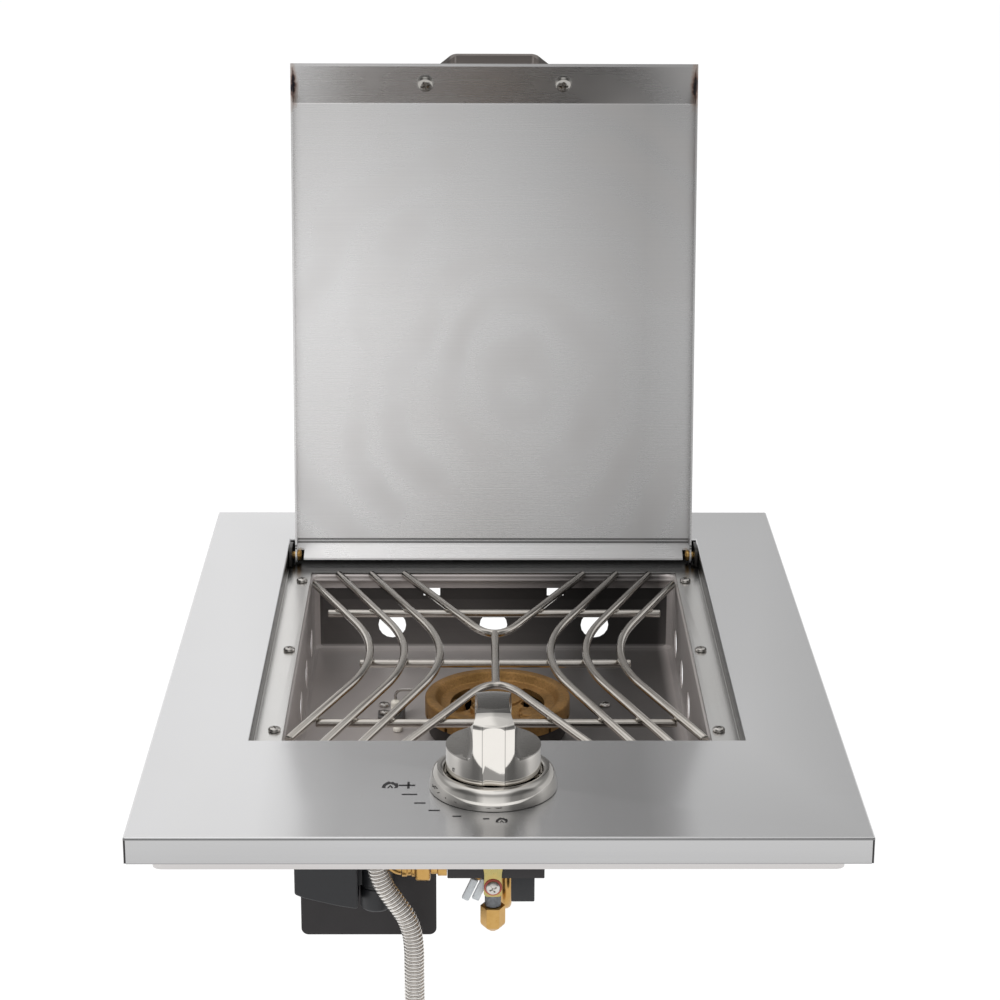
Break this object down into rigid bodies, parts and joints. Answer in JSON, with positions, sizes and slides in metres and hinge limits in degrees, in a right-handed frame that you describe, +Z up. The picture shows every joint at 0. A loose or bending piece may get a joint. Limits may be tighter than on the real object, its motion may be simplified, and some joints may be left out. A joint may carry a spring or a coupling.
{
  "type": "built in side burner",
  "caption": "Drop-in gas side burner: stainless panel with hinged lid, bent wire grate, brass ring burner, push and turn knob, valve and hose.",
  "frame": {"origin": "middle of the panel's outline, in the plane of the underside of the folded rim that rests on the counter", "axes": "+X to the user's right, -Y towards the user, +Z up"},
  "size_m": [0.381, 0.525, 0.5711],
  "materials": {
    "brushed_sheet": "brushed",
    "inner_sheet": "dark satin, seen in shade",
    "wire": "bright drawn",
    "polished": "polished",
    "cast_brass": "as cast",
    "brass": "machined",
    "black_steel": "satin black",
    "black_plastic": "matt black",
    "porcelain": "unglazed white",
    "white_plastic": "pale grey",
    "zinc": "grey zinc",
    "yellow_zinc": "yellow passivated zinc",
    "red_paint": "red sealing paint",
    "screw_steel": "plain"
  },
  "bodies": {
    "burner_body": {"top_panel": "brushed_sheet", "support_frame": "brushed_sheet", "burner_box": "inner_sheet", "ledge_screw_1": "screw_steel", "ledge_screw_2": "screw_steel", "ledge_screw_3": "screw_steel", "ledge_screw_4": "screw_steel", "ledge_screw_5": "screw_steel", "ledge_screw_6": "screw_steel", "cooking_grate": "wire", "burner_head": "cast_brass", "burner_bowl": "black_steel", "burner_screw_left": "cast_brass", "burner_screw_front": "cast_brass", "mixer_tube": "inner_sheet", "gas_orifice": "brass", "supply_tube": "brass", "electrode_ceramic": "porcelain", "electrode_tip": "inner_sheet", "electrode_bracket": "inner_sheet", "bracket_screw": "screw_steel", "lead_bush": "porcelain", "floor_screw_left": "screw_steel", "floor_screw_right": "screw_steel", "hinge_bracket_left": "inner_sheet", "hinge_bracket_right": "inner_sheet", "hinge_pin_left": "inner_sheet", "hinge_pin_right": "inner_sheet", "knob_bezel": "polished", "valve_body": "brass", "valve_screw_left": "zinc", "valve_screw_right": "zinc", "valve_bracket": "black_steel", "valve_clip": "yellow_zinc", "clip_screw": "red_paint", "valve_collar": "zinc", "valve_cap": "brass", "inlet_tail": "brass", "inlet_nut": "brass", "inlet_barrel": "brass", "inlet_elbow": "brass", "inlet_block": "brass", "hose_gland": "zinc", "gas_hose": "wire", "hose_end_fitting": "brass", "igniter_housing": "black_plastic", "battery_cap": "black_plastic", "heat_plate": "black_steel", "switch_box": "black_plastic", "connector_front": "white_plastic", "connector_rear": "white_plastic"},
    "lid_body": {"lid": "brushed_sheet", "lid_handle": "brushed_sheet", "handle_screw_left": "polished", "handle_screw_right": "polished"},
    "plug_body": {"valve_plug": "brass"},
    "knob_body": {"knob": "polished", "valve_stem": "zinc"},
    "shutter_body": {"air_shutter": "inner_sheet"}
  },
  "joints": [
    {"name": "lid_hinge", "type": "hinge", "parent": "burner_body", "child": "lid_body", "pos_m": [0, 0.1875, 0.0088], "axis": [1, 0, 0], "range_deg": [0, 98.7]},
    {"name": "knob_turn", "type": "hinge", "parent": "burner_body", "child": "plug_body", "pos_m": [-0.0027, -0.198, 0.0145], "axis": [0, 0, 1], "range_deg": [0, 180]},
    {"name": "knob_push", "type": "slide", "parent": "plug_body", "child": "knob_body", "axis": [0, 0, -1], "range_m": [0, 0.003], "stiffness_N_per_m": 1500},
    {"name": "air_shutter_turn", "type": "hinge", "parent": "burner_body", "child": "shutter_body", "pos_m": [0.0015, -0.098, -0.0655], "axis": [0, 1, 0], "range_deg": [0, 60]}
  ]
}
